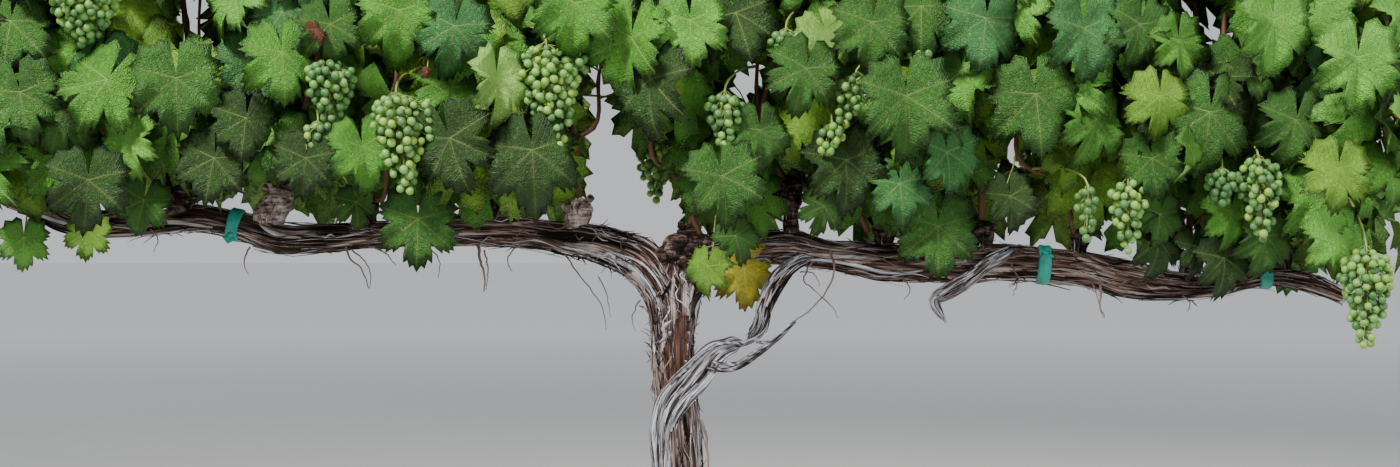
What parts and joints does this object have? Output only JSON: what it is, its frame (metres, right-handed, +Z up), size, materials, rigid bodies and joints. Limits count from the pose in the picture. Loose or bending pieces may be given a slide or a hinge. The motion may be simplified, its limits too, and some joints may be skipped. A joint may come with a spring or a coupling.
{
  "type": "grapevine",
  "caption": "Trained grapevine: shaggy upright trunk, two level arms with knobby spurs, leafy shoots above and hanging bunches of unripe grapes.",
  "frame": {"origin": "middle of the flat cut at ground level under the trunk", "axes": "+Z up; X along the row, through both arms; Y across the row, with the side that shows best facing -Y"},
  "size_m": [2.0736, 0.4212, 1.8256],
  "materials": {
    "bark": "shaggy grey-brown bark in long fibrous strips, red-brown where it has split open",
    "weathered_bark": "loose dead bark weathered to a pale grey",
    "leaf": "soft green leaf, slightly glossy on top, with pale veins",
    "leaf_vein": "pale yellow-green veins",
    "shoot": "smooth red-brown shoot, green where it is young",
    "grape": "firm pale green unripe grape with a faint bloom",
    "tape": "soft stretched blue-green tape"
  },
  "bodies": {
    "root": {"trunk": "bark", "arm_left": "bark", "arm_right": "bark", "spur_01": "bark", "spur_02": "bark", "spur_03": "bark", "spur_04": "bark", "spur_05": "bark", "spur_06": "bark", "spur_07": "bark", "spur_08": "bark", "spur_09": "bark", "spur_10": "bark", "spur_11": "bark", "spur_12": "bark", "spur_13": "bark", "bark_strap_lower": "weathered_bark", "bark_strap_upper": "weathered_bark", "bark_strap_hanging": "weathered_bark", "tie_1": "tape", "tie_2": "tape", "tie_3": "tape", "tie_4": "tape", "foliage_lower_1": "leaf", "foliage_lower_2": "leaf", "foliage_lower_3": "leaf", "foliage_lower_4": "leaf", "foliage_lower_5": "leaf", "foliage_lower_6": "leaf", "foliage_lower_7": "leaf", "foliage_upper_1": "leaf", "foliage_upper_2": "leaf", "foliage_upper_3": "leaf", "foliage_upper_4": "leaf", "foliage_upper_5": "leaf", "foliage_upper_6": "leaf"}
  },
  "joints": []
}
